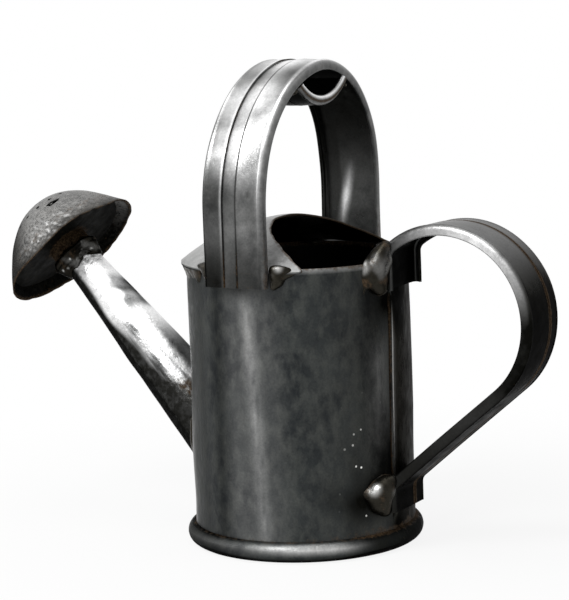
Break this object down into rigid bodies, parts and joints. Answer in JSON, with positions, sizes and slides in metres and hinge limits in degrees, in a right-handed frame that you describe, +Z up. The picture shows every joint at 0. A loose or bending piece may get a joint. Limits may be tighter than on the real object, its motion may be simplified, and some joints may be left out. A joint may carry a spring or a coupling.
{
  "type": "watering can",
  "caption": "Small weathered soldered sheet-metal watering can with a half hood, a strap arch with a loop grip, a side handle, and a tapered spout with a domed rose.",
  "frame": {"origin": "centre of the foot on the surface the can stands on, on the body's axis", "axes": "+Z up along the body's axis, -X towards the spout and rose, +X towards the side handle, the arch's legs at -Y and +Y"},
  "size_m": [0.2727, 0.11, 0.2165],
  "materials": {
    "tarnished_sheet": "dark tarnished tinplate with brown rust in the seams and a pale mineral streak",
    "dark_sheet": "near-black tarnished underside and inner faces",
    "worn_strap": "hand-worn tinned strap, brighter on its faces, brown in its folds",
    "worn_tube": "smooth rolled tinned tube with dull patches and scratches",
    "rose_sheet": "domed tinned sheet, pitted with rust near its edge",
    "old_solder": "lumpy tin-lead solder, grey-brown with bright spots"
  },
  "bodies": {
    "root": {"body_wall": "tarnished_sheet", "foot_hoop": "tarnished_sheet", "hood": "tarnished_sheet", "base_plate": "dark_sheet", "rose_back": "dark_sheet", "top_handle": "worn_strap", "top_grip": "worn_strap", "side_handle": "worn_strap", "spout_tube": "worn_tube", "rose_face": "rose_sheet", "rose_neck": "rose_sheet", "solder_base": "old_solder", "solder_hood": "old_solder", "solder_arch_near": "old_solder", "solder_arch_far": "old_solder", "solder_side_upper": "old_solder", "solder_side_lower": "old_solder", "solder_grip": "old_solder", "solder_spout": "old_solder", "solder_rose": "old_solder"}
  },
  "joints": []
}
